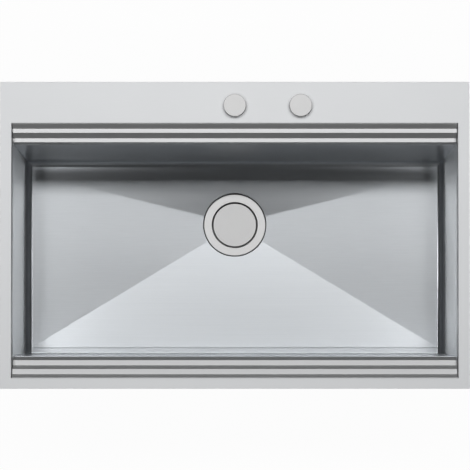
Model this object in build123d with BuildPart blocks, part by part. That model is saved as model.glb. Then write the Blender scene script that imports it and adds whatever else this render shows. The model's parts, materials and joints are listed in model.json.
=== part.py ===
from build123d import *
import os

# Inset kitchen sink: a flat rim plate, a welded bowl with stepped ledges in front and behind,
# a basket strainer waste opened by a knob on the tap deck, and the clips that hold it in a worktop.
# Millimetres, +X right, +Y to the tap deck, +Z up. The origin is the centre of the rim's seat, z = 0.

# Rim plate
rim_length = 780.0
rim_width = 510.0
rim_plate = 3.0
rim_chamfer = 0.6
front_border = 18.0
side_border = 19.0
tap_deck = 69.0
cutout_overlap = 9.0
seat_gasket = 1.0
seat_gasket_width = 7.0
seat_gasket_inset = 1.0

# Bowl sheet
sheet = 1.2
bowl_depth = 200.0
cove = 10.0
front_lean = 2.0
rear_lean = 10.0
floor_fall = 14.0
rear_floor_band = 13.0
weld_flange = 6.0

# Ledges, measured down from the rim's top and in from the opening's edge
shelf_depth = 22.0
upper_tread_depth = 7.0
lower_tread_depth = 14.0
tread_pitch = 15.1
ledge_lip_depth = 1.0
front_riser = 6.6
rear_riser = 8.4
front_nose = 5.0
rear_nose = 3.3
ledge_wall = 1.8
tread_edge_round = 0.6
ledge_end_gap = 1.0

# Tap deck fittings
fitting_setback = 40.0
knob_x = 109.4
fitting_cap_radius = 18.75
fitting_cap_height = 8.0
fitting_cap_round = 1.0
hex_sides = 6
fitting_seal = 0.8
tap_hole_radius = 17.0
cover_stud_radius = 4.0
cover_stud_length = 28.0
bridge_length = 60.0
bridge_width = 16.0
bridge_thickness = 2.0
wing_nut_height = 8.0
wing_nut_radius = 7.0
wing_span = 34.0
wing_thickness = 3.0
wing_rise = 10.0
wing_root = 5.5

# Waste knob
knob_hole_radius = 15.0
bushing_length = 32.0
bushing_flange = 1.2
bushing_flange_radius = 17.8
spindle_radius = 4.0
back_washer_radius = 20.0
back_washer = 1.5
back_nut_radius = 19.5
back_nut = 7.0
drum_radius = 9.0
drum_width = 10.0
drum_wire_radius = 5.7
drum_groove_width = 2.0
housing_radius = 18.0
housing_wall = 2.0
housing_depth = 22.0
housing_collar = 8.0
housing_lid_thickness = 3.0
lid_socket = 2.0
knob_top_wall = 1.5
grub_screw_radius = 1.5
grub_screw_length = 8.0
grub_socket_radius = 0.75
grub_socket = 2.0

# Cable glands
gland_boss_radius = 6.0
gland_boss_reach = 23.0
gland_radius = 5.0
gland_bore_radius = 1.8
gland_length = 18.0
gland_hex_radius = 7.0
gland_hex = 5.0

# Basket strainer waste
drain_setback = 122.5
strainer_flange_radius = 55.0
strainer_flange_thickness = 2.0
flange_gap = 2.0
recess_drop = 3.2
flange_round = 0.7
flange_seal = 1.2
recess_play = 0.4
gasket_inset = 1.0
drain_hole_radius = 45.0
throat_radius = 40.9
cup_wall = 1.2
cup_depth = 36.0
cup_bottom = 1.5
cup_hole_radius = 6.0
cup_hole_circle = 26.0
cup_holes = 8
body_seal = 2.5
body_flange = 4.0
body_flange_radius = 54.0
body_radius = 46.5
body_wall = 2.5
body_drop = 40.0
funnel_drop = 16.0
spigot_radius = 23.9
spigot_wall = 3.0
spigot_length = 30.0
boss_radius = 9.5
boss_length = 24.0
spoke_thickness = 4.0
spoke_height = 5.0
spokes = 3
gland_bearing = 60.0
bolt_radius = 5.0
bolt_length = 18.0
bolt_head = 3.0
bolt_head_radius = 9.0
bolt_slot = 2.0
bolt_slot_depth = 1.5

# Lift pin, basket and cover plate
lift_pin_radius = 2.5
lift_pin_length = 21.0
basket_radius = 37.5
basket_wall = 1.0
basket_height = 27.0
basket_lip = 1.2
basket_lip_reach = 4.0
basket_lip_overhang = 0.9
basket_slots = 18
basket_slot_width = 4.0
basket_slot_height = 15.0
basket_slot_cut = 4.0
basket_seal = 3.3
basket_seal_inner = 14.0
basket_seal_outer = 35.0
cover_gap = 2.5
cover_thickness = 1.5
cover_drop = 0.5
cover_round = 0.6
cover_feet = 3
cover_foot_radius = 2.0

# Fixing clips
clip_bracket_length = 14.0
clip_bracket_height = 12.0
clip_bracket_depth = 7.0
clip_bracket_sheet = 1.5
clip_cutout_gap = 0.8
clip_screw_radius = 2.0
clip_screw_length = 44.0
clip_head_radius = 3.2
clip_head = 3.0
clip_slot = 0.8
clip_slot_depth = 1.5
clip_jaw_width = 6.4
clip_jaw_reach = 22.0
clip_jaw_thickness = 2.0
clip_jaw_tooth = 4.0
clip_long_side_x = 250.0
clip_short_side_setback = 87.0

# Stiffener behind the bowl, earth tag and damping pads
stiffener_length = 700.0
stiffener_height = 30.0
stiffener_flange = 6.0
tag_x = -200.0
tag_width = 12.0
tag_foot = 9.0
tag_leg = 22.0
tag_hole_radius = 2.6
pad = 3.0
side_pad_length = 220.0
side_pad_height = 110.0
side_pad_top = -60.0
floor_pad_length = 210.0
floor_pad_width = 230.0
floor_pad_x = 215.0

# Clearances
running = 0.06
thread = 0.05
loose = 0.3
seat = 0.3

# Places worked out from the sizes
top = seat_gasket + rim_plate
opening_length = rim_length - 2 * side_border
front_edge = front_border - rim_width / 2
rear_edge = rim_width / 2 - tap_deck
front_ledge = 2 * tread_pitch + front_nose
rear_ledge = 2 * tread_pitch + rear_nose
front_wall = front_edge + front_ledge
rear_wall = rear_edge - rear_ledge
front_foot = front_wall + front_lean
rear_foot = rear_wall - rear_lean
drain_y = rear_wall - drain_setback
fitting_y = rim_width / 2 - fitting_setback
shelf = top - shelf_depth
floor = top - bowl_depth
drain_floor = floor - floor_fall
recess_radius = strainer_flange_radius + flange_gap
recess_seat = drain_floor - recess_drop
flange_top = recess_seat + flange_seal + strainer_flange_thickness
cup_floor = flange_top - cup_depth
cup_underside = cup_floor - cup_bottom
body_top = recess_seat - sheet - body_seal
body_low = body_top - body_drop
funnel_low = body_low - funnel_drop
cap_bottom = top + fitting_seal


def disc(z, radius, height, at=(0, 0), mode=Mode.ADD):
    """A round slab of the part being built, from z upwards."""
    with BuildSketch(Plane.XY.offset(z)) as outline:
        with Locations(at):
            Circle(radius)
    extrude(outline.sketch, amount=height, mode=mode)


def slab(low, high, mode=Mode.ADD):
    """A box of the part being built, from one corner to the opposite one."""
    size = [b - a for a, b in zip(low, high)]
    middle = [(a + b) / 2 for a, b in zip(low, high)]
    with BuildSketch(Plane.XY.offset(low[2])) as outline:
        with Locations((middle[0], middle[1])):
            Rectangle(size[0], size[1])
    extrude(outline.sketch, amount=size[2], mode=mode)


def round_slab_edge(builder, radius):
    """Rounds the top rim of a round piece."""
    fillet(builder.edges().group_by(Axis.Z)[-1], radius=radius)


def save(builder, name):
    builder.part.label = name
    export_step(builder.part, f"parts/{name}.step")


def basin(grow):
    """The bowl's hollow with its upper well, its folded floor and its drain recess, grown outwards."""
    half = opening_length / 2 + grow
    low = floor - grow
    fold_front = front_foot + cove
    fold_rear = rear_foot - cove - rear_floor_band
    side_view = Plane(origin=(-half, 0, 0), x_dir=(0, 1, 0), z_dir=(1, 0, 0))
    with BuildPart() as form:
        with BuildSketch(side_view):
            with BuildLine():
                Polyline(
                    (front_wall - grow, shelf),
                    (front_foot - grow, low),
                    (rear_foot + grow, low),
                    (rear_wall + grow, shelf),
                    close=True,
                )
            make_face()
        extrude(amount=2 * half)
        fillet(form.edges().group_by(Axis.Z)[0], radius=cove + grow)
        slab((-half, front_edge - grow, shelf - grow), (half, rear_edge + grow, seat_gasket))
        with BuildSketch(Plane.XY.offset(low), mode=Mode.PRIVATE) as fold:
            with Locations((0, (fold_front + fold_rear) / 2)):
                Rectangle(opening_length - 2 * cove, fold_rear - fold_front)
        loft([fold.sketch.face(), Vertex(0, drain_y, drain_floor - grow)], ruled=True)
        disc(recess_seat - grow, recess_radius + grow, floor - recess_seat, at=(0, drain_y))
    return form.part


def ledge(place, side, riser, nose, length):
    """The folded strips of a stepped ledge: a slanted riser, then two treads, each with its own drop."""
    upper = -upper_tread_depth
    lower = -lower_tread_depth
    base = -shelf_depth
    bend = tread_pitch + riser
    crest = 2 * tread_pitch
    slope = [(0, base), (0, -ledge_lip_depth), (riser, upper), (riser, base)]
    high = [(riser, base), (riser, upper), (tread_pitch, upper), (bend, lower), (bend, base)]
    low = [(bend, base), (bend, lower), (crest, lower), (crest + nose, base)]
    strips = (
        ("riser", slope, None, riser, upper),
        ("upper_tread", high, (tread_pitch, upper), bend, lower),
        ("lower_tread", low, (crest, lower), crest, lower),
    )
    for name, outline, edge, far_side, roof in strips:
        with BuildPart() as strip:
            with BuildSketch(place) as section:
                with BuildLine():
                    Polyline(*outline, close=True)
                make_face()
                if edge:
                    fillet(section.vertices().sort_by_distance((*edge, 0))[0], radius=tread_edge_round)
                near_side = outline[0][0]
                height = roof - ledge_wall - base
                with Locations(((near_side + far_side) / 2, base + height / 2)):
                    Rectangle(far_side - near_side - 2 * ledge_wall, height, mode=Mode.SUBTRACT)
            extrude(amount=length)
        save(strip, f"{side}_ledge_{name}")


os.makedirs("parts", exist_ok=True)

with BuildPart() as deck_plate:
    slab((-rim_length / 2, -rim_width / 2, seat_gasket), (rim_length / 2, rim_width / 2, top))
    slab(
        (-opening_length / 2, front_edge, seat_gasket),
        (opening_length / 2, rear_edge, top),
        mode=Mode.SUBTRACT,
    )
    chamfer(deck_plate.edges().group_by(Axis.Z)[-1], length=rim_chamfer)
    disc(seat_gasket, tap_hole_radius, rim_plate, at=(0, fitting_y), mode=Mode.SUBTRACT)
    disc(seat_gasket, knob_hole_radius, rim_plate, at=(knob_x, fitting_y), mode=Mode.SUBTRACT)
save(deck_plate, "deck_plate")

with BuildPart() as bowl_tub:
    add(basin(sheet))
    slab(
        (-opening_length / 2 - sheet - weld_flange, front_edge - sheet - weld_flange, seat_gasket - sheet),
        (opening_length / 2 + sheet + weld_flange, rear_edge + sheet + weld_flange, seat_gasket),
    )
    add(basin(0), mode=Mode.SUBTRACT)
    disc(recess_seat - sheet, drain_hole_radius, sheet, at=(0, drain_y), mode=Mode.SUBTRACT)
save(bowl_tub, "bowl_tub")

ledge_length = opening_length - 2 * ledge_end_gap
front_place = Plane(origin=(-ledge_length / 2, front_edge, top), x_dir=(0, 1, 0), z_dir=(1, 0, 0))
rear_place = Plane(origin=(ledge_length / 2, rear_edge, top), x_dir=(0, -1, 0), z_dir=(-1, 0, 0))
ledge(front_place, "front", front_riser, front_nose, ledge_length)
ledge(rear_place, "rear", rear_riser, rear_nose, ledge_length)

with BuildPart() as rear_stiffener:
    leg_face = rim_width / 2 - cutout_overlap - clip_bracket_depth - clip_cutout_gap
    leg_low = seat_gasket - stiffener_height
    half = stiffener_length / 2
    slab((-half, leg_face - sheet, leg_low), (half, leg_face, seat_gasket))
    slab((-half, leg_face, seat_gasket - sheet), (half, leg_face + stiffener_flange, seat_gasket))
save(rear_stiffener, "rear_stiffener")

with BuildPart() as rim_gasket:
    outer_x = rim_length / 2 - seat_gasket_inset
    outer_y = rim_width / 2 - seat_gasket_inset
    inner_x = outer_x - seat_gasket_width
    inner_y = outer_y - seat_gasket_width
    slab((-outer_x, -outer_y, 0), (outer_x, outer_y, seat_gasket))
    slab((-inner_x, -inner_y, 0), (inner_x, inner_y, seat_gasket), mode=Mode.SUBTRACT)
save(rim_gasket, "rim_gasket")

with BuildPart() as earth_tag:
    tag_top = shelf - sheet
    tag_y = (rear_wall + rear_edge) / 2
    slab((tag_x, tag_y - tag_foot, tag_top - sheet), (tag_x + tag_width, tag_y, tag_top))
    slab((tag_x, tag_y, tag_top - tag_leg), (tag_x + tag_width, tag_y + sheet, tag_top))
    hole_z = tag_top - tag_leg + tag_width / 2
    with BuildSketch(Plane(origin=(tag_x + tag_width / 2, tag_y, hole_z), z_dir=(0, 1, 0))):
        Circle(tag_hole_radius)
    extrude(amount=sheet, mode=Mode.SUBTRACT)
save(earth_tag, "earth_tag")

with BuildPart() as tap_hole_cover:
    disc(cap_bottom, fitting_cap_radius, fitting_cap_height, at=(0, fitting_y))
    round_slab_edge(tap_hole_cover, fitting_cap_round)
    disc(cap_bottom - cover_stud_length, cover_stud_radius, cover_stud_length, at=(0, fitting_y))
save(tap_hole_cover, "tap_hole_cover")

with BuildPart() as tap_cover_seal:
    disc(top, fitting_cap_radius - loose, fitting_seal, at=(0, fitting_y))
    disc(top, cover_stud_radius + loose, fitting_seal, at=(0, fitting_y), mode=Mode.SUBTRACT)
save(tap_cover_seal, "tap_cover_seal")

with BuildPart() as tap_cover_bridge:
    bridge_low = seat_gasket - bridge_thickness
    slab(
        (-bridge_length / 2, fitting_y - bridge_width / 2, bridge_low),
        (bridge_length / 2, fitting_y + bridge_width / 2, seat_gasket),
    )
    disc(bridge_low, cover_stud_radius + loose, bridge_thickness, at=(0, fitting_y), mode=Mode.SUBTRACT)
save(tap_cover_bridge, "tap_cover_bridge")

with BuildPart() as tap_cover_wing_nut:
    nut_low = bridge_low - wing_nut_height
    disc(nut_low, wing_nut_radius, wing_nut_height, at=(0, fitting_y))
    slab(
        (-wing_span / 2, fitting_y - wing_thickness / 2, nut_low - wing_rise + wing_nut_height / 2),
        (wing_span / 2, fitting_y + wing_thickness / 2, nut_low + wing_nut_height / 2),
    )
    disc(nut_low - wing_rise, wing_root, wing_rise, at=(0, fitting_y), mode=Mode.SUBTRACT)
    disc(nut_low, cover_stud_radius + thread, wing_nut_height, at=(0, fitting_y), mode=Mode.SUBTRACT)
save(tap_cover_wing_nut, "tap_cover_wing_nut")

knob_at = (knob_x, fitting_y)
bushing_radius = knob_hole_radius - loose
bushing_low = top - bushing_length
housing_low = bushing_low - housing_depth

with BuildPart() as knob_bushing:
    disc(bushing_low, bushing_radius, cap_bottom - bushing_low, at=knob_at)
    disc(cap_bottom, bushing_flange_radius, bushing_flange, at=knob_at)
    disc(
        bushing_low,
        spindle_radius + running,
        cap_bottom + bushing_flange - bushing_low,
        at=knob_at,
        mode=Mode.SUBTRACT,
    )
save(knob_bushing, "knob_bushing")

with BuildPart() as knob_bushing_seal:
    disc(top, bushing_flange_radius, fitting_seal, at=knob_at)
    disc(top, bushing_radius + loose, fitting_seal, at=knob_at, mode=Mode.SUBTRACT)
save(knob_bushing_seal, "knob_bushing_seal")

with BuildPart() as knob_bushing_washer:
    disc(seat_gasket - back_washer, back_washer_radius, back_washer, at=knob_at)
    disc(seat_gasket - back_washer, bushing_radius + loose, back_washer, at=knob_at, mode=Mode.SUBTRACT)
save(knob_bushing_washer, "knob_bushing_washer")

with BuildPart() as knob_bushing_nut:
    back_nut_low = seat_gasket - back_washer - back_nut
    with BuildSketch(Plane.XY.offset(back_nut_low)):
        with Locations(knob_at):
            RegularPolygon(back_nut_radius, hex_sides)
    extrude(amount=back_nut)
    disc(back_nut_low, bushing_radius + thread, back_nut, at=knob_at, mode=Mode.SUBTRACT)
save(knob_bushing_nut, "knob_bushing_nut")

with BuildPart() as waste_knob:
    disc(cap_bottom, fitting_cap_radius, fitting_cap_height, at=knob_at)
    round_slab_edge(waste_knob, fitting_cap_round)
    disc(
        cap_bottom,
        bushing_flange_radius + loose,
        bushing_flange + loose,
        at=knob_at,
        mode=Mode.SUBTRACT,
    )
    socket_top = cap_bottom + fitting_cap_height - knob_top_wall
    disc(cap_bottom, spindle_radius + thread, socket_top - cap_bottom, at=knob_at, mode=Mode.SUBTRACT)
    grub_height = (cap_bottom + bushing_flange + loose + socket_top) / 2
    grub_face = Plane(origin=(knob_x, fitting_y - fitting_cap_radius, grub_height), z_dir=(0, -1, 0))
    with BuildSketch(grub_face):
        Circle(grub_screw_radius + thread)
    extrude(amount=-(fitting_cap_radius - spindle_radius), mode=Mode.SUBTRACT)
save(waste_knob, "waste_knob")

with BuildPart() as knob_grub_screw:
    grub_tip = Plane(origin=(knob_x, fitting_y - spindle_radius - thread, grub_height), z_dir=(0, -1, 0))
    with BuildSketch(grub_tip):
        Circle(grub_screw_radius)
    extrude(amount=grub_screw_length)
    with BuildSketch(grub_tip.offset(grub_screw_length)):
        RegularPolygon(grub_socket_radius, hex_sides)
    extrude(amount=-grub_socket, mode=Mode.SUBTRACT)
save(knob_grub_screw, "knob_grub_screw")

drum_low = housing_low + housing_depth / 2 - drum_width / 2
with BuildPart() as knob_spindle:
    spindle_low = housing_low - lid_socket + seat
    disc(spindle_low, spindle_radius, socket_top - loose - spindle_low, at=knob_at)
save(knob_spindle, "knob_spindle")

with BuildPart() as cable_drum:
    disc(drum_low, drum_radius, drum_width, at=knob_at)
    disc(drum_low, spindle_radius + thread, drum_width, at=knob_at, mode=Mode.SUBTRACT)
    with BuildSketch(Plane.XY.offset(drum_low + drum_width / 2 - drum_groove_width / 2)):
        with Locations(knob_at):
            Circle(drum_radius)
            Circle(drum_wire_radius - drum_groove_width / 2, mode=Mode.SUBTRACT)
    extrude(amount=drum_groove_width, mode=Mode.SUBTRACT)
save(cable_drum, "cable_drum")

wire_y = fitting_y - drum_wire_radius
wire_z = drum_low + drum_width / 2
gland_start = knob_x - gland_boss_reach

with BuildPart() as drum_housing:
    housing_height = housing_depth + housing_collar
    disc(housing_low, housing_radius, housing_height, at=knob_at)
    with BuildSketch(Plane(origin=(gland_start, wire_y, wire_z), z_dir=(1, 0, 0))):
        Circle(gland_boss_radius)
    extrude(amount=gland_boss_reach)
    disc(
        housing_low,
        housing_radius - housing_wall,
        housing_depth - housing_wall,
        at=knob_at,
        mode=Mode.SUBTRACT,
    )
    disc(bushing_low, bushing_radius + thread, housing_collar, at=knob_at, mode=Mode.SUBTRACT)
    disc(housing_low, spindle_radius + running, housing_height, at=knob_at, mode=Mode.SUBTRACT)
    with BuildSketch(Plane(origin=(gland_start, wire_y, wire_z), z_dir=(1, 0, 0))):
        Circle(gland_bore_radius)
    extrude(amount=gland_boss_reach, mode=Mode.SUBTRACT)
save(drum_housing, "drum_housing")

with BuildPart() as drum_housing_lid:
    disc(housing_low - housing_lid_thickness, housing_radius, housing_lid_thickness, at=knob_at)
    disc(
        housing_low - lid_socket,
        spindle_radius + running,
        lid_socket,
        at=knob_at,
        mode=Mode.SUBTRACT,
    )
save(drum_housing_lid, "drum_housing_lid")


def cable_gland(place):
    """A threaded nipple with a hexagon foot and a bore for the wire, pointing along the plane's normal."""
    with BuildPart() as gland:
        with BuildSketch(place):
            RegularPolygon(gland_hex_radius, hex_sides)
        extrude(amount=gland_hex)
        with BuildSketch(place.offset(gland_hex)):
            Circle(gland_radius)
        extrude(amount=gland_length - gland_hex)
        with BuildSketch(place):
            Circle(gland_bore_radius)
        extrude(amount=gland_length, mode=Mode.SUBTRACT)
    return gland


knob_cable_gland = cable_gland(Plane(origin=(gland_start, wire_y, wire_z), z_dir=(-1, 0, 0)))
save(knob_cable_gland, "knob_cable_gland")

drain_at = (0, drain_y)
drain_axis = Axis(origin=(0, drain_y, 0), direction=(0, 0, 1))
drain_side = Plane(origin=(0, drain_y, 0), x_dir=(1, 0, 0), z_dir=(0, -1, 0))


def ring(z, outer, inner, height):
    """A flat ring about the drain."""
    with BuildPart() as band:
        disc(z, outer, height, at=drain_at)
        disc(z, inner, height, at=drain_at, mode=Mode.SUBTRACT)
    return band


flange_gasket = ring(recess_seat, recess_radius - recess_play, drain_hole_radius, flange_seal)
save(flange_gasket, "flange_gasket")

body_gasket = ring(body_top, body_flange_radius - gasket_inset, drain_hole_radius, body_seal)
save(body_gasket, "body_gasket")

with BuildPart() as strainer_flange:
    with BuildSketch(drain_side):
        with BuildLine():
            Polyline(
                (throat_radius + cup_wall, flange_top - strainer_flange_thickness),
                (strainer_flange_radius, flange_top - strainer_flange_thickness),
                (strainer_flange_radius, flange_top),
                (throat_radius, flange_top),
                (throat_radius, cup_floor),
                (bolt_radius + loose, cup_floor),
                (bolt_radius + loose, cup_underside),
                (throat_radius + cup_wall, cup_underside),
                close=True,
            )
        make_face()
    revolve(axis=drain_axis)
    fillet(strainer_flange.edges().group_by(Axis.Z)[-1], radius=flange_round)
    with BuildSketch(Plane.XY.offset(cup_underside)):
        with Locations(drain_at):
            with PolarLocations(cup_hole_circle, cup_holes):
                Circle(cup_hole_radius)
    extrude(amount=cup_bottom, mode=Mode.SUBTRACT)
save(strainer_flange, "strainer_flange")

boss_low = cup_underside - boss_length
conduit_z = boss_low + gland_boss_radius
with BuildPart() as waste_body:
    with BuildSketch(drain_side):
        with BuildLine():
            Polyline(
                (body_radius - body_wall, body_top),
                (body_flange_radius, body_top),
                (body_flange_radius, body_top - body_flange),
                (body_radius, body_top - body_flange),
                (body_radius, body_low),
                (spigot_radius, funnel_low),
                (spigot_radius, funnel_low - spigot_length),
                (spigot_radius - spigot_wall, funnel_low - spigot_length),
                (spigot_radius - spigot_wall, funnel_low),
                (body_radius - body_wall, body_low),
                close=True,
            )
        make_face()
    revolve(axis=drain_axis)
    disc(boss_low, boss_radius, boss_length, at=drain_at)
    spoke_reach = body_radius - body_wall / 2
    spoke_low = cup_underside - loose - spoke_height
    for turn in range(spokes):
        bearing = gland_bearing + turn * 360 / spokes
        spoke_dir = Vector(1, 0, 0).rotate(Axis.Z, bearing)
        spoke_place = Plane(origin=(0, drain_y, spoke_low), x_dir=spoke_dir, z_dir=(0, 0, 1))
        with BuildSketch(spoke_place):
            with Locations((spoke_reach / 2, 0)):
                Rectangle(spoke_reach, spoke_thickness)
        extrude(amount=spoke_height)
    conduit = Plane(origin=(0, drain_y, conduit_z), z_dir=Vector(1, 0, 0).rotate(Axis.Z, gland_bearing))
    with BuildSketch(conduit):
        Circle(gland_boss_radius)
    extrude(amount=body_radius)
    disc(conduit_z, lift_pin_radius + running, cup_underside - conduit_z, at=drain_at, mode=Mode.SUBTRACT)
    disc(cup_underside - bolt_length, bolt_radius + thread, bolt_length, at=drain_at, mode=Mode.SUBTRACT)
    with BuildSketch(conduit):
        Circle(gland_bore_radius)
    extrude(amount=body_radius, mode=Mode.SUBTRACT)
save(waste_body, "waste_body")

waste_cable_gland = cable_gland(conduit.offset(body_radius))
save(waste_cable_gland, "waste_cable_gland")

with BuildPart() as centre_bolt:
    disc(cup_floor, bolt_head_radius, bolt_head, at=drain_at)
    slab(
        (-bolt_head_radius, drain_y - bolt_slot / 2, cup_floor + bolt_head - bolt_slot_depth),
        (bolt_head_radius, drain_y + bolt_slot / 2, cup_floor + bolt_head),
        mode=Mode.SUBTRACT,
    )
    disc(cup_underside - bolt_length + loose, bolt_radius, bolt_length + cup_bottom - loose, at=drain_at)
    disc(
        cup_underside - bolt_length,
        lift_pin_radius + running,
        bolt_length + cup_bottom + bolt_head,
        at=drain_at,
        mode=Mode.SUBTRACT,
    )
save(centre_bolt, "centre_bolt")

seal_low = cup_floor + seat
basket_low = seal_low + basket_seal
basket_high = basket_low + basket_height
cover_high = flange_top - cover_drop
cover_low = cover_high - cover_thickness

with BuildPart() as lift_pin:
    disc(basket_low - seat - lift_pin_length, lift_pin_radius, lift_pin_length, at=drain_at)
save(lift_pin, "lift_pin")

basket_seal_ring = ring(seal_low, basket_seal_outer, basket_seal_inner, basket_seal)
save(basket_seal_ring, "basket_seal")

lip_inner = basket_radius - basket_lip_reach
lip_outer = basket_radius + basket_lip_overhang
with BuildPart() as strainer_basket:
    disc(basket_low, basket_radius, basket_height - basket_lip, at=drain_at)
    disc(basket_high - basket_lip, lip_outer, basket_lip, at=drain_at)
    disc(
        basket_low + basket_wall,
        basket_radius - basket_wall,
        basket_height - basket_lip - basket_wall,
        at=drain_at,
        mode=Mode.SUBTRACT,
    )
    disc(basket_high - basket_lip, lip_inner, basket_lip, at=drain_at, mode=Mode.SUBTRACT)
    slot_low = basket_low + (basket_height - basket_slot_height) / 2
    with BuildSketch(Plane.XY.offset(slot_low)):
        with Locations(drain_at):
            with PolarLocations(basket_radius, basket_slots):
                Rectangle(basket_slot_cut, basket_slot_width)
    extrude(amount=basket_slot_height, mode=Mode.SUBTRACT)
save(strainer_basket, "strainer_basket")

with BuildPart() as drain_cover_plate:
    disc(cover_low, throat_radius - cover_gap, cover_thickness, at=drain_at)
    round_slab_edge(drain_cover_plate, cover_round)
    foot_circle = (lip_inner + lip_outer) / 2
    foot_low = basket_high + seat
    with BuildSketch(Plane.XY.offset(foot_low)):
        with Locations(drain_at):
            with PolarLocations(foot_circle, cover_feet):
                Circle(cover_foot_radius)
    extrude(amount=cover_low - foot_low)
save(drain_cover_plate, "drain_cover_plate")

flange_underside = seat_gasket - sheet
side_wall = opening_length / 2 + sheet
front_wall_face = front_edge - sheet


def clip_place(x, y, outward):
    """The plane of one clip: its origin on the wall under the rim, its local y pointing outwards."""
    along = Vector(*outward, 0).cross(Vector(0, 0, 1))
    return Plane(origin=(x, y, flange_underside), x_dir=along, z_dir=(0, 0, 1))


clip_places = [clip_place(x, front_wall_face, (0, -1)) for x in (-clip_long_side_x, clip_long_side_x)]
clip_places += [clip_place(x, leg_face, (0, 1)) for x in (-clip_long_side_x, clip_long_side_x)]
clip_ends = (front_edge + clip_short_side_setback, rear_edge - clip_short_side_setback)
clip_places += [clip_place(-side_wall, y, (-1, 0)) for y in clip_ends]
clip_places += [clip_place(side_wall, y, (1, 0)) for y in clip_ends]
screw_offset = clip_bracket_depth / 2
screw_high = -clip_bracket_sheet - loose
screw_low = screw_high - clip_screw_length


def prism(place, low, height, size, middle=(0, 0), mode=Mode.ADD):
    """A rectangular block on a clip's plane, from a local height upwards."""
    with BuildSketch(place.offset(low)) as outline:
        with Locations(middle):
            Rectangle(*size)
    extrude(outline.sketch, amount=height, mode=mode)


def rod(place, low, radius, height, middle, mode=Mode.ADD):
    """A round bar on a clip's plane, from a local height upwards."""
    with BuildSketch(place.offset(low)) as outline:
        with Locations(middle):
            Circle(radius)
    extrude(outline.sketch, amount=height, mode=mode)


with BuildPart() as clip_brackets:
    for place in clip_places:
        tab = (clip_bracket_length, clip_bracket_depth)
        prism(place, -clip_bracket_height, clip_bracket_height, tab, (0, screw_offset))
        gap = (clip_bracket_length, clip_bracket_depth - clip_bracket_sheet)
        gap_height = clip_bracket_height - 2 * clip_bracket_sheet
        gap_low = clip_bracket_sheet - clip_bracket_height
        gap_middle = (0, clip_bracket_sheet + gap[1] / 2)
        prism(place, gap_low, gap_height, gap, gap_middle, mode=Mode.SUBTRACT)
        rod(
            place,
            -clip_bracket_height,
            clip_screw_radius + thread,
            clip_bracket_sheet,
            (0, screw_offset),
            mode=Mode.SUBTRACT,
        )
save(clip_brackets, "clip_brackets")

with BuildPart() as clip_screws:
    for place in clip_places:
        rod(place, screw_low, clip_screw_radius, clip_screw_length, (0, screw_offset))
        rod(place, screw_low - clip_head, clip_head_radius, clip_head, (0, screw_offset))
        slot = (2 * clip_head_radius, clip_slot)
        prism(place, screw_low - clip_head, clip_slot_depth, slot, (0, screw_offset), mode=Mode.SUBTRACT)
save(clip_screws, "clip_screws")

for number, place in enumerate(clip_places, start=1):
    jaw_low = screw_low + seat
    with BuildPart() as clip_jaw:
        rod(place, jaw_low, clip_jaw_width / 2, clip_jaw_thickness, (0, screw_offset))
        prism(
            place,
            jaw_low,
            clip_jaw_thickness,
            (clip_jaw_reach, clip_jaw_width),
            (clip_jaw_reach / 2, screw_offset),
        )
        prism(
            place,
            jaw_low,
            clip_jaw_thickness + clip_jaw_tooth,
            (clip_jaw_thickness, clip_jaw_width),
            (clip_jaw_reach - clip_jaw_thickness / 2, screw_offset),
        )
        rod(
            place,
            jaw_low,
            clip_screw_radius + running,
            clip_jaw_thickness,
            (0, screw_offset),
            mode=Mode.SUBTRACT,
        )
    save(clip_jaw, f"clip_jaw_{number}")

with BuildPart() as side_damping_pads:
    pad_middle = (front_wall + rear_foot) / 2
    for side in (-1, 1):
        faces = sorted((side * side_wall, side * (side_wall + pad)))
        slab(
            (faces[0], pad_middle - side_pad_length / 2, side_pad_top - side_pad_height),
            (faces[1], pad_middle + side_pad_length / 2, side_pad_top),
        )
save(side_damping_pads, "side_damping_pads")

with BuildPart() as floor_damping_pads:
    for x in (-floor_pad_x, floor_pad_x):
        slab(
            (x - floor_pad_length / 2, pad_middle - floor_pad_width / 2, drain_floor - 2 * pad),
            (x + floor_pad_length / 2, pad_middle + floor_pad_width / 2, floor),
        )
    add(basin(sheet).moved(Location((0, 0, -pad))), mode=Mode.INTERSECT)
    add(basin(sheet), mode=Mode.SUBTRACT)
save(floor_damping_pads, "floor_damping_pads")
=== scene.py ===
import json
import math
from collections import namedtuple

import bmesh
import bpy
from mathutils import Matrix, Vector


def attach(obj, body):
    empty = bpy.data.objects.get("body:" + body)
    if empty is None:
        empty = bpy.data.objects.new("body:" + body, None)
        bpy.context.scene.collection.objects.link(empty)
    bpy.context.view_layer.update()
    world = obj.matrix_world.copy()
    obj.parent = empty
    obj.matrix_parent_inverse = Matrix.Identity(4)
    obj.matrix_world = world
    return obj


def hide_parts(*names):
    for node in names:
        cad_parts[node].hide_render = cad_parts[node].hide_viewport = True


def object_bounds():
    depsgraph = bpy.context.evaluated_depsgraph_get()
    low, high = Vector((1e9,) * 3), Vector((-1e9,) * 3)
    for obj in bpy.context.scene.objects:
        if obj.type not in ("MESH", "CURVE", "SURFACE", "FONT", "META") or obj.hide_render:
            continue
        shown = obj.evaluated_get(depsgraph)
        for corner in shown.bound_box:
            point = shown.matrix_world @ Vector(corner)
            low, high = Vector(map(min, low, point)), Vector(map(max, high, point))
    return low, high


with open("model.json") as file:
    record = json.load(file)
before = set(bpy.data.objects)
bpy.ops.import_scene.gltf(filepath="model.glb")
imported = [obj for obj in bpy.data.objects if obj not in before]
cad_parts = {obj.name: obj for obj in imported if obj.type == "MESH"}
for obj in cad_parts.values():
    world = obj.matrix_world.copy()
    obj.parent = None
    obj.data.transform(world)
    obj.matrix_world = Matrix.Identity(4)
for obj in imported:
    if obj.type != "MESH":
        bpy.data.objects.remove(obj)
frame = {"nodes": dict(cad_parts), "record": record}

# A steel inset sink seen from above: rim, bowl with folded floor, stepped ledges, tap deck and waste.
# Metres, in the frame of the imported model: +X right, +Y to the tap deck, +Z up.

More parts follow.
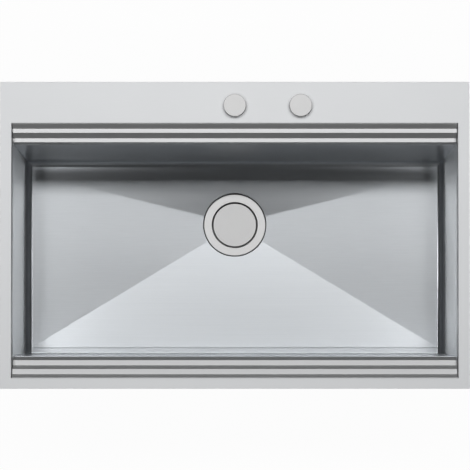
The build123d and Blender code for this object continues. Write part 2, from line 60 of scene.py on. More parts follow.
cad_low, cad_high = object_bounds()
mm = 0.001
quarter = math.pi / 2

# Camera: 780 mm of rim fill the picture's 470 pixels, seen from 2.67 m above it
image_width = 470
sensor_width = 36.0
focal_pixels = 1610
camera_x = 0.0004
camera_y = -0.151
camera_height = 2.675
camera_tilt = math.radians(0.9)
camera_reach = 50
nadir_row = 326

# Bowl
seat_top = 1.0 * mm
sheet = 1.2 * mm
opening_half = 371.0 * mm
front_edge = -237.0 * mm
rear_edge = 186.0 * mm
front_wall = -201.8 * mm
rear_wall = 152.5 * mm
front_foot = -200.8 * mm
rear_foot = 142.5 * mm
shelf = -18.0 * mm
floor = -196.0 * mm
floor_fall = 14.0 * mm
cove = 10.0 * mm
cove_steps = 12
front_cove = 2.5 * mm
rear_band = 13.0 * mm
weld_flange = 6.0 * mm
drain_y = 30.0 * mm
recess_radius = 57.0 * mm
recess_seat = -213.2 * mm
drain_hole = 45.0 * mm
circle_steps = 128

# The rounds at the bowl's ends: they turn this far, and meet the floor at a fold
end_turn = math.radians(68)
end_radius = cove / (1 - math.cos(end_turn))
end_rise = end_radius * math.sin(end_turn)
end_steps = 4

# The line pressed along the front of the floor: its section as (place across it, depth) in millimetres
front_crease = -189.8 * mm
pressed_line = ((-0.75, 0.0), (-0.15, 0.36), (0.15, 0.36), (0.75, 0.0))

# Ledges
ledge_half = 370.0 * mm
ledge_lip = 3.0 * mm
front_pitch = 14.5 * mm
rear_pitch = 15.1 * mm
upper_tread = -3.0 * mm
lower_tread = -10.0 * mm
front_riser = 6.0 * mm
rear_riser = 8.4 * mm
front_nose = 6.2 * mm
rear_nose = 3.3 * mm
ledge_fold = 0.6 * mm
fold_steps = 4

# Tap deck fittings
fitting_y = 215.0 * mm
knob_x = 109.4 * mm

# Edges broken on the parts that the model gives sharp, in millimetres
broken_edges = {
    "deck_plate": 0.25,
    "rear_stiffener": 0.3,
    "earth_tag": 0.2,
    "rim_gasket": 0.25,
    "tap_hole_cover": 0.0,
    "tap_cover_bridge": 0.4,
    "tap_cover_wing_nut": 0.6,
    "knob_bushing": 0.0,
    "knob_bushing_washer": 0.25,
    "knob_bushing_nut": 0.5,
    "knob_cable_gland": 0.0,
    "waste_cable_gland": 0.0,
    "drum_housing": 0.5,
    "drum_housing_lid": 0.5,
    "waste_body": 0.5,
    "strainer_basket": 0.2,
    "clip_brackets": 0.25,
    "clip_screws": 0.25,
    "side_damping_pads": 0.6,
    "floor_damping_pads": 0.6,
}
broken_edges.update({f"clip_jaw_{i + 1}": 0.25 for i in range(8)})

# Edges and normals: turns in degrees from which an edge shows sharp, and how far large faces lead
fold_round = 0.5 * mm
edge_segments = 2
bowl_edge_turn = 35.0
part_edge_turn = 30.0
sharp_turn = 32.0
level_fold_turn = 0.3
pressed_turn = 15.0
thread_turn = 50.0
level_tilt = 0.995
upright = 0.99
sheet_levelling = 100
part_levelling = 50

# Corners nearer than this are one, and faces that turn less than this are one
same_corner = 0.0001 * mm
same_seam = 0.001 * mm
same_part_corner = 0.002 * mm
same_face = math.radians(0.4)

# Threads, in millimetres: a rod starts at each foot and runs in the direction given
Thread = namedtuple("Thread", "feet direction radius length pitch")
upwards = (0, 0, 1)
leftwards = (-1, 0, 0)
stud_foot = (0.0, fitting_y / mm, -23.2)
bushing_foot = (knob_x / mm, fitting_y / mm, -28.0)
outlet_foot = (0.0, drain_y / mm, -302.9)
knob_gland_foot = (81.4, 209.3, -39.0)
clip_rod_foot = -46.0
clip_rods = [
    (joint["pos_m"][0] / mm, joint["pos_m"][1] / mm, clip_rod_foot)
    for joint in frame["record"]["behaviour"]["joints"]
    if joint["name"].startswith("clip_")
]
gland_bearing = math.radians(60)
gland_out = (math.cos(gland_bearing), math.sin(gland_bearing), 0.0)
gland_reach = 51.5
gland_level = -265.5
waste_gland_foot = (gland_out[0] * gland_reach, drain_y / mm + gland_out[1] * gland_reach, gland_level)
threads = {
    "clip_screws": Thread(clip_rods, upwards, radius=2.0, length=44.0, pitch=0.7),
    "tap_hole_cover": Thread([stud_foot], upwards, radius=4.0, length=23.0, pitch=1.25),
    "knob_bushing": Thread([bushing_foot], upwards, radius=14.7, length=28.5, pitch=1.5),
    "knob_cable_gland": Thread([knob_gland_foot], leftwards, radius=5.0, length=13.0, pitch=1.0),
    "waste_cable_gland": Thread([waste_gland_foot], gland_out, radius=5.0, length=13.0, pitch=1.0),
    "waste_body": Thread([outlet_foot], upwards, radius=23.9, length=30.0, pitch=2.309),
}

# How a thread is cut: its depth as a share of the pitch, and the fineness of its mesh
thread_depth = 0.55
least_sides = 20
sides_per_mm = 4
steps_per_turn = 4

# How near to its rod's surface, foot and tip a corner of the model counts as the rod's, in millimetres
rod_play = 0.02
rod_foot_play = 0.05
rod_tip_play = 6

# Finishes: the scale of each one's marks and of its soft clouding, and the depth of the marks
satin_grain = (60, 900, 900)
satin_depth = 0.01 * mm
brush_across = 620.0
brush_along = 5.0
brush_depth = 0.02 * mm
turned_rings = 1500.0
turned_depth = 0.01 * mm
milled_grain = 600.0
milled_depth = 0.03 * mm
sheet_cloud = 5.0
turned_cloud = 30.0
milled_cloud = 40.0
moulded_cloud = 25.0

# Brushed finishes: roughness, how far a highlight spreads, and its turn against the surface's tangent
bowl_rough = 0.25
end_rough = 0.36
bowl_spread = 0.9
ledge_rough = 0.5
ledge_spread = 0.0
across = 0.25
along = 0.0
far_in_front = (0.0, -1000.0, 0.0)

# Studio: boxes overhead as (left, right, front, rear, glow)
box_height = 3.3
overhead = {
    "rear_left_box": (-1.905, -0.823, 0.94, 1.469, 10.3),
    "rear_middle_box": (-0.823, 0.823, 0.94, 1.469, 6.9),
    "rear_right_box": (0.823, 1.905, 0.94, 1.469, 8.8),
    "left_box": (-1.905, -0.823, -1.539, 0.173, 3.4),
    "right_box": (0.823, 1.905, -1.539, 0.173, 3.0),
    "far_box": (-1.905, 1.905, 1.469, 2.769, 1.0),
}

# Lamps that stand on all four sides, as (distance, level, width, height, glow)
standing = {
    "panel": (3.2, 0.8, 3.6, 1.1, 0.1),
    "skirt": (2.4, -0.145, 3.0, 0.25, 3.0),
}

# White surround, and the floor under the object
world_glow = 0.02
white = (1, 1, 1, 1)
floor_glow = 0.96
floor_tone = (0.9, 0.9, 0.9, 1)
floor_rough = 0.9
floor_half = 6.0
floor_gap = 0.5 * mm


class Wire:
    """A node's output, in sums: an operator on it adds the Math node that works it out."""

    def __init__(self, tree, socket):
        self.tree = tree
        self.socket = socket

    def math(self, operation, *values):
        return self.tree.node("ShaderNodeMath", {"operation": operation}, values)

    def __add__(self, other):
        return self.math("ADD", self, other)

    def __sub__(self, other):
        return self.math("SUBTRACT", self, other)

    def __rsub__(self, other):
        return self.math("SUBTRACT", other, self)

    def __mul__(self, other):
        return self.math("MULTIPLY", self, other)

    def __truediv__(self, other):
        return self.math("DIVIDE", self, other)

    def __abs__(self):
        return self.math("ABSOLUTE", self)

    __radd__ = __add__
    __rmul__ = __mul__


class Tree:
    """A node tree that is built up node by node."""

    def __init__(self, tree):
        self.tree = tree
        self.tree.nodes.clear()

    def node(self, kind, settings=None, values=(), output=0):
        """Adds a node with its settings and with values or links for its sockets; returns one output."""
        made = self.tree.nodes.new(kind)
        for key, value in (settings or {}).items():
            setattr(made, key, value)
        pairs = values.items() if isinstance(values, dict) else enumerate(values)
        for key, value in pairs:
            self.join(made.inputs[key], value)
        return None if output is None else Wire(self, made.outputs[output])

    def join(self, socket, value):
        """Gives a socket a value, a link or a list of links."""
        if isinstance(value, list):
            for each in value:
                self.join(socket, each)
        elif isinstance(value, Wire):
            self.tree.links.new(value.socket, socket)
        else:
            socket.default_value = value


class Pattern(Tree):
    """A geometry tree with named inputs that ends in one plain mesh."""

    kinds = {float: "NodeSocketFloat", int: "NodeSocketInt", tuple: "NodeSocketVector"}
    shape = "NodeSocketGeometry"

    def __init__(self, name, **inputs):
        super().__init__(bpy.data.node_groups.new(name, "GeometryNodeTree"))
        face = self.tree.interface
        self.sockets = {"Geometry": face.new_socket("Geometry", in_out="INPUT", socket_type=self.shape)}
        for label, kind in inputs.items():
            self.sockets[label] = face.new_socket(label, in_out="INPUT", socket_type=self.kinds[kind])
        face.new_socket("Geometry", in_out="OUTPUT", socket_type=self.shape)
        self.start = self.tree.nodes.new("NodeGroupInput")

    def given(self, label):
        """One of the tree's inputs."""
        return Wire(self, self.start.outputs[label])

    def end(self, geometry, material):
        """Makes the instances real, gives them their material and closes the tree."""
        real = self.node("GeometryNodeRealizeInstances", {}, [geometry])
        dressed = self.node("GeometryNodeSetMaterial", {}, {"Geometry": real, "Material": material})
        self.node("NodeGroupOutput", {}, [dressed], output=None)

    def mesh(self, name, base, **values):
        """Runs the tree on a base mesh with these inputs and returns the plain mesh."""
        maker = bpy.data.objects.new(name, base)
        bpy.context.scene.collection.objects.link(maker)
        modifier = maker.modifiers.new(name, "NODES")
        modifier.node_group = self.tree
        for label, value in values.items():
            modifier[self.sockets[label].identifier] = value
        made = evaluated_mesh(maker)
        bpy.data.objects.remove(maker)
        made.name = name
        return made


class Finish(Tree):
    """A material round one principled shader."""

    def __init__(self, name, **constants):
        self.material = bpy.data.materials.new(name)
        self.material.use_nodes = True
        super().__init__(self.material.node_tree)
        self.place = self.node("ShaderNodeTexCoord", output="Object")
        self.shader = self.node("ShaderNodeBsdfPrincipled", {}, constants)
        self.end = self.tree.nodes.new("ShaderNodeOutputMaterial")
        self.join(self.end.inputs["Surface"], self.shader)

    def feed(self, name, value):
        """Joins a value to one of the shader's sockets."""
        self.join(self.shader.socket.node.inputs[name], value)

    def vector(self, operation, *values, output=0):
        """A sum on vectors."""
        return self.node("ShaderNodeVectorMath", {"operation": operation}, values, output)

    def noise(self, vector, scale=1.0, detail=2.0, roughness=0.5):
        """A cloudy pattern, from 0 to 1."""
        values = {"Vector": vector, "Scale": scale, "Detail": detail, "Roughness": roughness}
        return self.node("ShaderNodeTexNoise", {}, values, output="Fac")

    def tint(self, amount, first, second):
        """A colour between two colours."""
        values = {0: amount, 6: (*first, 1.0), 7: (*second, 1.0)}
        return self.node("ShaderNodeMix", {"data_type": "RGBA"}, values, output=2)

    def dress(self, marks, cloud, share, tones, rough, swing, depth):
        """Colour, roughness and relief from fine marks and a soft cloud.

        share is the marks' part in the colour, swing what marks and cloud add to the roughness.
        """
        self.feed("Base Color", self.tint(marks * share + cloud * (1 - share), *tones))
        self.feed("Roughness", marks * swing[0] + cloud * swing[1] + rough)
        bump = self.node("ShaderNodeBump", {}, {"Strength": 1.0, "Distance": depth, "Height": marks})
        self.feed("Normal", bump)


def satin(name, tones, rough):
    """An even satin with a very fine grain along X that hardly shows."""
    made = Finish(name, Metallic=1.0)
    grain = made.noise(made.vector("MULTIPLY", made.place, satin_grain), detail=3.0)
    cloud = made.noise(made.place, scale=sheet_cloud)
    made.dress(grain, cloud, share=0.5, tones=tones, rough=rough, swing=(0.06, 0.04), depth=satin_depth)
    return made.material


def brushed_steel(name, lines_along, tones, rough, spread, turn):
    """Sheet with fine brush lines, and a highlight that spreads square to them."""
    made = Finish(name, Metallic=1.0, Anisotropic=spread, **{"Anisotropic Rotation": turn})
    stretch = tuple(brush_along if axis == lines_along else brush_across for axis in "xyz")
    lines = made.noise(made.vector("MULTIPLY", made.place, stretch), detail=3.0, roughness=0.6)
    cloud = made.noise(made.place, scale=sheet_cloud, detail=1.0)
    made.dress(lines, cloud, share=0.7, tones=tones, rough=rough, swing=(0.06, 0.04), depth=brush_depth)
    return made.material


def turned_steel(name, x, y, tones, rough):
    """A turned face: fine rings about the piece's own axis."""
    made = Finish(name, Metallic=1.0)
    offset = made.vector("SUBTRACT", made.place, (x, y, 0.0))
    flat = made.vector("MULTIPLY", offset, (1, 1, 0))
    reach = made.vector("LENGTH", flat, output="Value")
    values = {"W": reach, "Scale": turned_rings, "Detail": 2.0}
    rings = made.node("ShaderNodeTexNoise", {"noise_dimensions": "1D"}, values, output="Fac")
    cloud = made.noise(made.place, scale=turned_cloud)
    made.dress(rings, cloud, share=0.6, tones=tones, rough=rough, swing=(0.08, 0.0), depth=turned_depth)
    return made.material


def plain_metal(name, tones, rough):
    """Milled or plated metal with a faint clouding."""
    made = Finish(name, Metallic=1.0)
    grain = made.noise(made.place, scale=milled_grain, detail=3.0)
    cloud = made.noise(made.place, scale=milled_cloud)
    made.dress(grain, cloud, share=0.4, tones=tones, rough=rough, swing=(0.1, 0.08), depth=milled_depth)
    return made.material


def moulded(name, tones, rough, pebble, depth):
    """Moulded plastic or rubber with a fine pebbled skin."""
    made = Finish(name)
    skin = made.noise(made.place, scale=pebble)
    cloud = made.noise(made.place, scale=moulded_cloud)
    made.dress(skin, cloud, share=0.5, tones=tones, rough=rough, swing=(0.12, 0.06), depth=depth)
    return made.material


def grey(tone):
    """A colour without a hue."""
    return (tone, tone, tone)


def brushed_lengthwise(mesh):
    """Puts the texture space far in front.

    The tangent then runs along the piece, so a spread highlight lies square to lengthwise brush lines.
    """
    mesh.use_auto_texspace = False
    mesh.texspace_location = far_in_front
    mesh.texspace_size = (1.0, 1.0, 1.0)


def new_piece(name, mesh, body, material, replaced):
    """Puts a mesh into the scene as a piece that rides on a body and stands for nodes of the model."""
    piece = bpy.data.objects.new(name, mesh)
    bpy.context.scene.collection.objects.link(piece)
    mesh.materials.clear()
    mesh.materials.append(material)
    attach(piece, body)
    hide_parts(*replaced)
    return piece


def evaluated_mesh(piece):
    """A plain mesh of a piece with its modifiers."""
    shown = piece.evaluated_get(bpy.context.evaluated_depsgraph_get())
    return bpy.data.meshes.new_from_object(shown)


def applied(piece):
    """Applies a piece's modifiers to its mesh."""
    made = evaluated_mesh(piece)
    piece.modifiers.clear()
    piece.data = made


def finished(piece, bevel=0.0, edge_turn=part_edge_turn, levelling=sheet_levelling):
    """Gives a piece its rounded edges and level normals on its large faces."""
    if bevel:
        edges = piece.modifiers.new("edges", "BEVEL")
        edges.width = bevel
        edges.segments = edge_segments
        edges.limit_method = "ANGLE"
        edges.angle_limit = math.radians(edge_turn)
    applied(piece)
    shade(piece.data, sharp_turn)
    normals = piece.modifiers.new("normals", "WEIGHTED_NORMAL")
    normals.weight = levelling
    normals.keep_sharp = True
    applied(piece)


def shade(mesh, sharp):
    """Smooth faces with sharp edges, also along the shallow folds between level sheets."""
    form = bmesh.new()
    form.from_mesh(mesh)
    for edge in form.edges:
        edge.smooth = True
        if len(edge.link_faces) == 2:
            first, second = (face.normal for face in edge.link_faces)
            turn = math.degrees(first.angle(second, 0.0))
            low_tilt, high_tilt = sorted((abs(first.z), abs(second.z)))
            level = low_tilt > level_tilt
            pressed = high_tilt > level_tilt and turn > pressed_turn
            edge.smooth = turn < (level_fold_turn if level else sharp) and not pressed
    for face in form.faces:
        face.smooth = True
    form.to_mesh(mesh)
    form.free()


def mesh_of(form, name):
    """A mesh of a form whose corners are merged and whose faces look outwards."""
    mesh = bpy.data.meshes.new(name)
    bmesh.ops.remove_doubles(form, verts=form.verts, dist=same_corner)
    bmesh.ops.recalc_face_normals(form, faces=form.faces)
    form.to_mesh(mesh)
    form.free()
    return mesh


def oblong(form, x_half, low_y, high_y, z):
    """The four corners of a level rectangle, anticlockwise from the front left."""
    corners = ((-x_half, low_y), (x_half, low_y), (x_half, high_y), (-x_half, high_y))
    return [form.verts.new((x, y, z)) for x, y in corners]


def belt(form, upper, lower):
    """The faces between two loops of the same number of corners."""
    count = len(upper)
    for i in range(count):
        k = (i + 1) % count
        form.faces.new((upper[k], upper[i], lower[i], lower[k]))


def fold_corners(form, fold, apex, radius):
    """Four folds from a level rectangle to an apex, cut by a circle about it; returns the circle."""
    centre = apex.xy
    arcs = []
    for i in range(4):
        a, b = fold[i].co.xy - centre, fold[(i + 1) % 4].co.xy - centre
        start = math.atan2(a.y, a.x)
        sweep = (math.atan2(b.y, b.x) - start) % (2 * math.pi)
        arc = []
        for k in range(circle_steps // 4):
            turn = start + sweep * k * 4 / circle_steps
            ray = Vector((math.cos(turn), math.sin(turn)))
            reach = a.cross(b - a) / ray.cross(b - a)
            rise = (fold[i].co.z - apex.z) * radius / reach
            arc.append(form.verts.new((*(centre + ray * radius), apex.z + rise)))
        arcs.append(arc)
    for i in range(4):
        edge = arcs[i] + [arcs[(i + 1) % 4][0]]
        form.faces.new([fold[i], fold[(i + 1) % 4]] + edge[::-1])
    return [corner for arc in arcs for corner in arc]


def round_inset(radius, drop):
    """How far in a round of this radius is, at a drop below its upper end."""
    drop = max(0.0, drop)
    return radius - math.sqrt(radius * radius - drop * drop)


def bowl_top(form, grow):
    """The weld flange, the upper well and its shelves; returns the flange and the walls' upper loop."""
    half, front, rear = opening_half + grow, front_edge - grow, rear_edge + grow
    low_seat, low_shelf = seat_top - grow, shelf - grow
    reach = sheet + weld_flange
    flange = oblong(form, opening_half + reach, front_edge - reach, rear_edge + reach, low_seat)
    lip = oblong(form, half, front, rear, low_seat)
    belt(form, flange, lip)
    well = oblong(form, half, front, rear, low_shelf)
    crest = oblong(form, half, front_wall - grow, rear_wall + grow, low_shelf)
    form.faces.new((lip[1], lip[0], well[0], well[1]))
    form.faces.new((lip[3], lip[2], well[2], well[3]))
    form.faces.new((lip[2], lip[1], well[1], crest[1], crest[2], well[2]))
    form.faces.new((lip[0], lip[3], well[3], crest[3], crest[0], well[0]))
    form.faces.new((well[1], well[0], crest[0], crest[1]))
    form.faces.new((well[3], well[2], crest[2], crest[3]))
    return flange, crest


def bowl_walls(form, grow, crest):
    """The four walls and the rounds at their feet, loop by loop; returns the lowest loop."""
    low_shelf, low_floor, bend = shelf - grow, floor - grow, cove + grow
    heights = [end_rise + (cove - end_rise) * step / end_steps for step in range(end_steps)]
    heights += [cove - bend * math.sin(quarter * step / cove_steps) for step in range(cove_steps)]
    above = crest
    for height in heights:
        z = floor + height
        share = (low_shelf - z) / (low_shelf - low_floor)
        front = front_wall - grow + (front_foot - front_wall) * share
        rear = rear_wall + grow + (rear_foot - rear_wall) * share
        x_half = opening_half + grow - round_inset(end_radius + grow, end_rise - height)
        low_y = front + round_inset(front_cove + grow, front_cove - height)
        high_y = rear - round_inset(bend, cove - height)
        below = oblong(form, x_half, low_y, high_y, z)
        belt(form, above, below)
        above = below
    return above


def bowl_floor(form, grow, above):
    """Level strips before and behind the folds, and the pressed line; returns the folds' corners."""
    low_floor = floor - grow
    x_half = opening_half - cove
    foot = oblong(form, x_half, front_foot + front_cove, rear_foot - cove, low_floor)
    creases = []
    for place, depth in pressed_line:
        y, z = front_crease + place * mm, low_floor - depth * mm
        creases.append([form.verts.new((side * x_half, y, z)) for side in (-1, 1)])
    rear_fold = rear_foot - cove - rear_band
    fold = creases[-1] + [form.verts.new((side * x_half, rear_fold, low_floor)) for side in (1, -1)]
    form.faces.new((foot[3], foot[2], fold[2], fold[3]))
    strips = [foot[:2]] + creases
    for first, second in zip(strips, strips[1:]):
        form.faces.new((first[1], first[0], second[0], second[1]))
    form.faces.new((above[1], above[0], foot[0], foot[1]))
    form.faces.new((above[3], above[2], foot[2], foot[3]))
    left, right = ([strip[i] for strip in strips] for i in (0, 1))
    form.faces.new([above[0], above[3], foot[3], fold[3]] + left[::-1])
    form.faces.new([above[2], above[1]] + right + [fold[2], foot[2]])
    return fold


def drain_recess(form, grow, circle, centre):
    """The step down to the recess's seat, and the seat; returns the edge of the drain hole."""
    seat, hole = [], []
    for corner in circle:
        ray = (corner.co.xy - centre).normalized()
        for loop, radius in ((seat, recess_radius + grow), (hole, drain_hole)):
            loop.append(form.verts.new((*(centre + ray * radius), recess_seat - grow)))
    belt(form, circle, seat)
    belt(form, seat, hole)
    return hole


def bowl_skin(form, grow):
    """One skin of the bowl, grown outwards; returns the edges of its flange and its drain hole."""
    flange, crest = bowl_top(form, grow)
    fold = bowl_floor(form, grow, bowl_walls(form, grow, crest))
    apex = Vector((0.0, drain_y, floor - grow - floor_fall))
    circle = fold_corners(form, fold, apex, recess_radius + grow)
    return flange, drain_recess(form, grow, circle, apex.xy)


def bowl_mesh():
    """The bowl as a closed sheet: its inner and outer skin, joined at the flange and the drain hole."""
    form = bmesh.new()
    inner_flange, inner_hole = bowl_skin(form, 0.0)
    outer_flange, outer_hole = bowl_skin(form, sheet)
    belt(form, inner_flange, outer_flange)
    belt(form, inner_hole, outer_hole)
    return mesh_of(form, "bowl_shell")


def add_bowl():
    """The welded bowl, with the brush lines upright on its two ends."""
    bowl = new_piece("bowl_shell", bowl_mesh(), "sink", steel_bowl, ["bowl_tub"])
    finished(bowl, bevel=fold_round, edge_turn=bowl_edge_turn)
    brushed_lengthwise(bowl.data)
    bowl.data.materials.append(steel_ends)
    for face in bowl.data.polygons:
        face.material_index = int(abs(face.normal.x) > upright)


def ledge_pattern(material):
    """The tree of a ledge: a folded profile, filled and drawn out to its length, turned into place."""
    made = Pattern("ledge", Length=float, Fold=float, Steps=int, Turn=tuple, Place=tuple)
    outline = made.node("GeometryNodeMeshToCurve", {}, [made.given("Geometry")])
    bends = {"Curve": outline, "Radius": made.given("Fold"), "Count": made.given("Steps")}
    folded = made.node("GeometryNodeFilletCurve", {"mode": "POLY"}, bends)
    face = made.node("GeometryNodeFillCurve", {"mode": "NGONS"}, [folded])
    reach = made.node("ShaderNodeCombineXYZ", {}, {"Z": made.given("Length")})
    drawn = {"Mesh": face, "Offset": reach, "Individual": False}
    bar = made.node("GeometryNodeExtrudeMesh", {"mode": "FACES"}, drawn)
    foot = made.node("GeometryNodeFlipFaces", {}, [face])
    whole = made.node("GeometryNodeJoinGeometry", {}, [[foot, bar]])
    closed = made.node("GeometryNodeMergeByDistance", {}, {"Geometry": whole, "Distance": same_seam})
    laid = {"Geometry": closed, "Rotation": made.given("Turn"), "Translation": made.given("Place")}
    made.end(made.node("GeometryNodeTransform", {}, laid), material)
    return made


def ledge_outline(pitch, riser, nose):
    """A ledge's section, x in from the opening's edge and y up, as a closed loop of edges."""
    inner = 2 * pitch + nose
    points = [
        (0.0, shelf),
        (inner, shelf),
        (2 * pitch, lower_tread),
        (pitch + riser, lower_tread),
        (pitch, upper_tread),
        (riser, upper_tread),
        (0.0, ledge_lip),
    ]
    mesh = bpy.data.meshes.new("ledge_outline")
    count = len(points)
    edges = [(i, (i + 1) % count) for i in range(count)]
    mesh.from_pydata([(x, y, 0.0) for x, y in points], edges, [])
    return mesh


def add_ledges():
    """The stepped ledges in front and behind, each one folded bar."""
    pattern = ledge_pattern(steel_ledge)
    sides = (
        ("front", front_pitch, front_riser, front_nose, quarter, (-ledge_half, front_edge, 0.0)),
        ("rear", rear_pitch, rear_riser, rear_nose, -quarter, (ledge_half, rear_edge, 0.0)),
    )
    for side, pitch, riser, nose, turn, place in sides:
        mesh = pattern.mesh(
            f"{side}_ledge",
            ledge_outline(pitch, riser, nose),
            Length=2 * ledge_half,
            Fold=ledge_fold,
            Steps=fold_steps,
            Turn=(quarter, 0.0, turn),
            Place=place,
        )
        strips = [f"{side}_ledge_{part}" for part in ("riser", "upper_tread", "lower_tread")]
        ledge = new_piece(f"{side}_ledge", mesh, "sink", steel_ledge, strips)
        finished(ledge)
        brushed_lengthwise(ledge.data)


def thread_pattern(material):
    """The tree of a thread: a tube with a helical groove, set on every point of the base mesh."""
    sizes = dict.fromkeys(("Radius", "Depth", "Pitch", "Length"), float)
    made = Pattern("thread", **sizes, Sides=int, Steps=int, Turn=tuple)
    radius, pitch, length = made.given("Radius"), made.given("Pitch"), made.given("Length")
    rings = {"Vertices": made.given("Sides"), "Side Segments": made.given("Steps")}
    tube = made.node(
        "GeometryNodeMeshCylinder", {"fill_type": "NONE"}, {**rings, "Radius": radius, "Depth": length}
    )
    spot = made.node("GeometryNodeInputPosition")
    x, y, z = (made.node("ShaderNodeSeparateXYZ", {}, [spot], output=axis) for axis in "XYZ")
    turn = x.math("ARCTAN2", y, x) / (2 * math.pi)
    wave = x.math("PINGPONG", z / pitch + turn, 0.5) * 2
    room = (length * 0.5 - abs(z)) / pitch
    crest = wave * x.math("MINIMUM", room, 1.0)
    share = 1 - (1 - crest) * made.given("Depth") / radius
    moved = made.node("ShaderNodeCombineXYZ", {}, [x * share, y * share, z])
    cut = made.node("GeometryNodeSetPosition", {}, {"Geometry": tube, "Position": moved})
    aim = made.node("FunctionNodeEulerToRotation", {}, [made.given("Turn")])
    values = {"Points": made.given("Geometry"), "Instance": cut, "Rotation": aim}
    made.end(made.node("GeometryNodeInstanceOnPoints", {}, values), material)
    return made


def thread_mesh(pattern, name, thread):
    """The threads of one part, standing on their feet."""
    aim = Vector(thread.direction)
    points = bpy.data.meshes.new(name + "_points")
    middles = [(Vector(foot) + aim * thread.length / 2) * mm for foot in thread.feet]
    points.from_pydata(middles, [], [])
    return pattern.mesh(
        name,
        points,
        Radius=thread.radius * mm,
        Depth=thread.pitch * thread_depth * mm,
        Pitch=thread.pitch * mm,
        Length=thread.length * mm,
        Sides=max(least_sides, int(thread.radius * sides_per_mm)),
        Steps=int(thread.length / thread.pitch * steps_per_turn),
        Turn=tuple(aim.to_track_quat("Z", "Y").to_euler()),
    )


def cut_down(form, thread):
    """Takes the rods that get a thread down to the thread's root."""
    aim = Vector(thread.direction)
    for corner in form.verts:
        for foot in thread.feet:
            offset = corner.co / mm - Vector(foot)
            height = offset.dot(aim)
            spread = offset - aim * height
            on_rod = -rod_foot_play < height < thread.length + rod_tip_play
            if on_rod and abs(spread.length - thread.radius) < rod_play:
                corner.co -= spread.normalized() * thread.pitch * thread_depth * mm


def add_eased_part(node, edge, pattern):
    """A copy of a part from the model, with its edges broken and its thread cut."""
    source = frame["nodes"][node]
    name = f"{node}_finished"
    form = bmesh.new()
    form.from_mesh(source.data)
    bmesh.ops.remove_doubles(form, verts=form.verts, dist=same_part_corner)
    bmesh.ops.dissolve_limit(form, angle_limit=same_face, verts=form.verts, edges=form.edges)
    if node in threads:
        cut_down(form, threads[node])
    material = source.material_slots[0].material
    piece = new_piece(name, mesh_of(form, name), body_of[node], material, [node])
    finished(piece, bevel=edge * mm, levelling=part_levelling)
    if node in threads:
        thread = thread_mesh(pattern, node + "_thread", threads[node])
        shade(thread, thread_turn)
        form = bmesh.new()
        form.from_mesh(piece.data)
        form.from_mesh(thread)
        form.to_mesh(piece.data)
        form.free()


def camera_view():
    """The camera over the front of the bowl, shifted so that the whole rim fills the picture's width."""
    camera = bpy.data.objects.new("camera", bpy.data.cameras.new("camera"))
    bpy.context.scene.collection.objects.link(camera)
    camera.location = (camera_x, camera_y, camera_height)
    camera.rotation_euler = (camera_tilt, 0, 0)
    camera.data.sensor_width = sensor_width
    camera.data.lens = focal_pixels / image_width * sensor_width
    from_middle = nadir_row - image_width / 2
    camera.data.shift_y = (from_middle - focal_pixels * math.tan(camera_tilt)) / image_width
    camera.data.clip_end = camera_reach
    bpy.context.scene.camera = camera
    bpy.context.scene.view_settings.view_transform = "Standard"


def softbox(name, place, target, width, height, glow):
    """A rectangular lamp of an even glow, aimed at a point."""
    data = bpy.data.lights.new(name, "AREA")
    data.shape = "RECTANGLE"
    data.size = width
    data.size_y = height
    data.energy = glow * math.pi * width * height
    lamp = bpy.data.objects.new(name, data)
    bpy.context.scene.collection.objects.link(lamp)
    lamp.location = place
    lamp.rotation_euler = (Vector(target) - Vector(place)).to_track_quat("-Z", "Y").to_euler()
    lamp.visible_camera = False


def lights():
    """Soft boxes overhead, mostly behind the bowl, and low lamps all round for the outside."""
    for name, (left, right, front, rear, glow) in overhead.items():
        x, y = (left + right) / 2, (front + rear) / 2
        softbox(name, (x, y, box_height), (x, y, 0.0), right - left, rear - front, glow)
    for i, (x, y) in enumerate(((1, 0), (0, 1), (-1, 0), (0, -1))):
        for name, (reach, level, width, height, glow) in standing.items():
            place, target = (x * reach, y * reach, level), (0, 0, level)
            softbox(f"{name}_{i + 1}", place, target, width, height, glow)


def white_surround():
    """A world that looks white to the camera and gives only a trace of light."""
    world = bpy.data.worlds.new("studio")
    bpy.context.scene.world = world
    world.use_nodes = True
    made = Tree(world.node_tree)
    seen = made.node("ShaderNodeLightPath", output="Is Camera Ray")
    dim = made.node("ShaderNodeBackground", {}, {"Color": white, "Strength": world_glow})
    bright = made.node("ShaderNodeBackground", {}, {"Color": white, "Strength": 1.0})
    mix = made.node("ShaderNodeMixShader", {}, [seen, dim, bright])
    made.node("ShaderNodeOutputWorld", {}, {"Surface": mix}, output=None)


def studio_floor():
    """A pale floor that shows white, keeps the object's shadow, and is clear when seen from below."""
    level = cad_low.z - floor_gap
    corners = ((-1, -1), (1, -1), (1, 1), (-1, 1))
    mesh = bpy.data.meshes.new("studio_floor")
    mesh.from_pydata([(x * floor_half, y * floor_half, level) for x, y in corners], [], [(0, 1, 2, 3)])
    ground = bpy.data.objects.new("studio_floor", mesh)
    bpy.context.scene.collection.objects.link(ground)
    made = Finish("studio_floor", Roughness=floor_rough)
    made.feed("Base Color", floor_tone)
    kinds = ("Camera", "Glossy", "Transmission")
    rays = [made.node("ShaderNodeLightPath", output=f"Is {kind} Ray") for kind in kinds]
    glow = made.node("ShaderNodeEmission", {}, {"Color": white, "Strength": 1.0})
    share = (rays[0] + rays[1] + rays[2]) * floor_glow
    mix = made.node("ShaderNodeMixShader", {}, [share, made.shader, glow])
    below = made.node("ShaderNodeNewGeometry", output="Backfacing")
    clear = made.node("ShaderNodeBsdfTransparent")
    shown = made.node("ShaderNodeMixShader", {}, [below * rays[0], mix, clear])
    made.join(made.end.inputs["Surface"], shown)
    mesh.materials.append(made.material)


camera_view()
lights()
white_surround()
studio_floor()

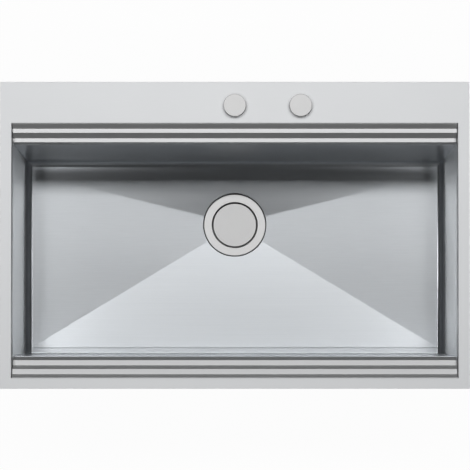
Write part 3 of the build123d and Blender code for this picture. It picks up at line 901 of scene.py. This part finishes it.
# Finishes, each between a dark and a light tone
rim_tones = ((0.79, 0.80, 0.81), (0.85, 0.86, 0.87))
steel_rim = satin("satin_rim", rim_tones, rough=0.62)
bowl_tones = ((0.56, 0.585, 0.61), (0.65, 0.675, 0.70))
steel_bowl = brushed_steel("brushed_bowl", "x", bowl_tones, bowl_rough, bowl_spread, across)
end_tones = ((0.66, 0.665, 0.67), (0.73, 0.735, 0.74))
steel_ends = brushed_steel("brushed_ends", "z", end_tones, end_rough, bowl_spread, along)
ledge_tones = ((0.60, 0.605, 0.61), (0.66, 0.665, 0.67))
steel_ledge = brushed_steel("brushed_ledge", "x", ledge_tones, ledge_rough, ledge_spread, across)
milled_tones = ((0.50, 0.505, 0.51), (0.58, 0.585, 0.59))
steel_plain = plain_metal("milled_steel", milled_tones, rough=0.3)
zinc_tones = ((0.54, 0.55, 0.55), (0.64, 0.65, 0.64))
zinc = plain_metal("zinc_plate", zinc_tones, rough=0.34)
brass_tones = ((0.66, 0.48, 0.22), (0.78, 0.60, 0.32))
brass = plain_metal("turned_brass", brass_tones, rough=0.26)
plastic_tones = ((0.025, 0.025, 0.027), (0.05, 0.05, 0.052))
black_plastic = moulded("black_plastic", plastic_tones, rough=0.4, pebble=900.0, depth=0.04 * mm)
rubber_tones = (grey(0.02), grey(0.04))
black_rubber = moulded("black_rubber", rubber_tones, rough=0.62, pebble=500.0, depth=0.06 * mm)
pad_tones = ((0.12, 0.125, 0.13), (0.19, 0.20, 0.21))
pad_rubber = moulded("damping_pad", pad_tones, rough=0.66, pebble=140.0, depth=0.3 * mm)
cap_tones = (grey(0.53), grey(0.60))
plate_tones = (grey(0.49), grey(0.545))
flange_tones = (grey(0.55), grey(0.62))

# The turned faces have rings about their own axes; every other node takes its slot's finish
turned = {
    "tap_hole_cover": turned_steel("turned_cover", 0.0, fitting_y, cap_tones, rough=0.5),
    "waste_knob": turned_steel("turned_knob", knob_x, fitting_y, cap_tones, rough=0.5),
    "drain_cover_plate": turned_steel("turned_disc", 0.0, drain_y, plate_tones, rough=0.45),
    "strainer_flange": turned_steel("turned_flange", 0.0, drain_y, flange_tones, rough=0.45),
}
by_slot = {
    "rim_satin": steel_rim,
    "bowl_brushed": steel_bowl,
    "turned_steel": steel_plain,
    "plain_steel": steel_plain,
    "zinc_steel": zinc,
    "brass": brass,
    "black_plastic": black_plastic,
    "black_rubber": black_rubber,
    "damping_pad": pad_rubber,
}
slot_of = {part["node"]: part["material_slot"] for part in frame["record"]["subparts"]}
bodies = frame["record"]["behaviour"]["bodies"]
body_of = {node: body for body, nodes in bodies.items() for node in nodes}
for node, slot in slot_of.items():
    frame["nodes"][node].material_slots[0].material = turned.get(node, by_slot[slot])

# Finer pieces in place of the nodes whose edges, threads or folds show
add_bowl()
add_ledges()
thread_cutter = thread_pattern(steel_plain)
for node, edge in broken_edges.items():
    add_eased_part(node, edge, thread_cutter)
